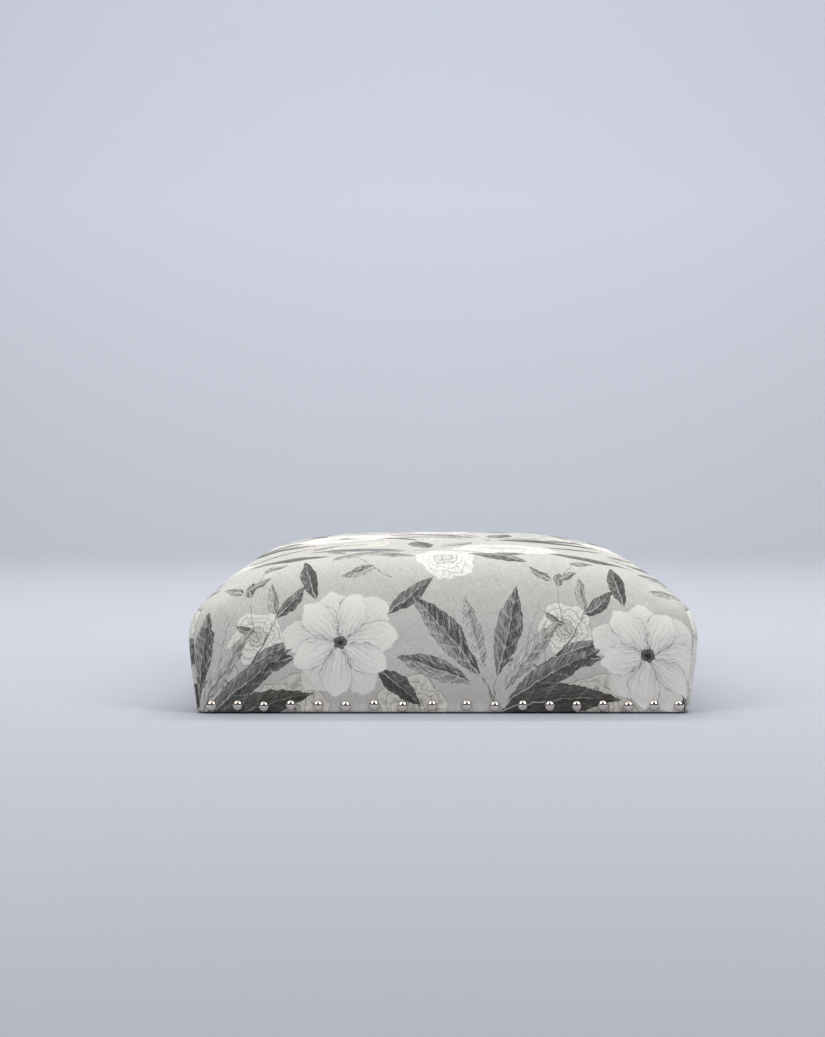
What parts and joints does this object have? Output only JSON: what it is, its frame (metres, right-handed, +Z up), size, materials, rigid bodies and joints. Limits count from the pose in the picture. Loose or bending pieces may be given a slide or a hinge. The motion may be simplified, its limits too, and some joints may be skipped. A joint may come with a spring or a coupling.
{
  "type": "upholstered chair seat",
  "caption": "Padded dining chair seat in printed fabric with a domed crown, decorative nails along the front and sides, and bolt inserts for the legs underneath.",
  "frame": {"origin": "under the middle of the seat, on the plane its underside rests on", "axes": "+X to the right as seen from the front, +Y from the front to the back of the chair, +Z up"},
  "size_m": [0.5266, 0.4888, 0.167],
  "materials": {
    "printed_fabric": "woven linen-look cloth with a printed floral pattern",
    "thread": "twisted sewing thread",
    "beech": "planed, unfinished",
    "dowel_wood": "fluted beech dowel",
    "firm_foam": "open-cell foam, firm",
    "soft_foam": "open-cell foam, soft",
    "wadding": "fibre wadding",
    "webbing": "woven jute webbing",
    "lining": "plain woven hessian",
    "zinc_steel": "zinc plated",
    "staple_wire": "galvanised wire",
    "nickel": "polished nickel plate",
    "dust_cloth": "black nonwoven cloth"
  },
  "bodies": {
    "root": {"rail_front": "beech", "rail_rear": "beech", "rail_left": "beech", "rail_right": "beech", "corner_block_front_left": "beech", "corner_block_front_right": "beech", "corner_block_rear_left": "beech", "corner_block_rear_right": "beech", "corner_block_screws": "zinc_steel", "rail_dowels": "dowel_wood", "leg_inserts": "zinc_steel", "webbing_long_1": "webbing", "webbing_long_2": "webbing", "webbing_long_3": "webbing", "webbing_long_4": "webbing", "webbing_long_5": "webbing", "webbing_cross_1": "webbing", "webbing_cross_2": "webbing", "webbing_cross_3": "webbing", "webbing_cross_4": "webbing", "webbing_cross_5": "webbing", "webbing_staples": "staple_wire", "support_cloth": "lining", "foam_base": "firm_foam", "foam_crown": "soft_foam", "wadding_wrap": "wadding", "cover_top": "printed_fabric", "cover_side_left": "printed_fabric", "cover_side_right": "printed_fabric", "seam_thread_left": "thread", "seam_thread_right": "thread", "nails_front": "nickel", "nails_left": "nickel", "nails_right": "nickel", "cover_staples": "staple_wire", "dust_cover": "dust_cloth", "dust_cover_staples": "staple_wire"}
  },
  "joints": []
}
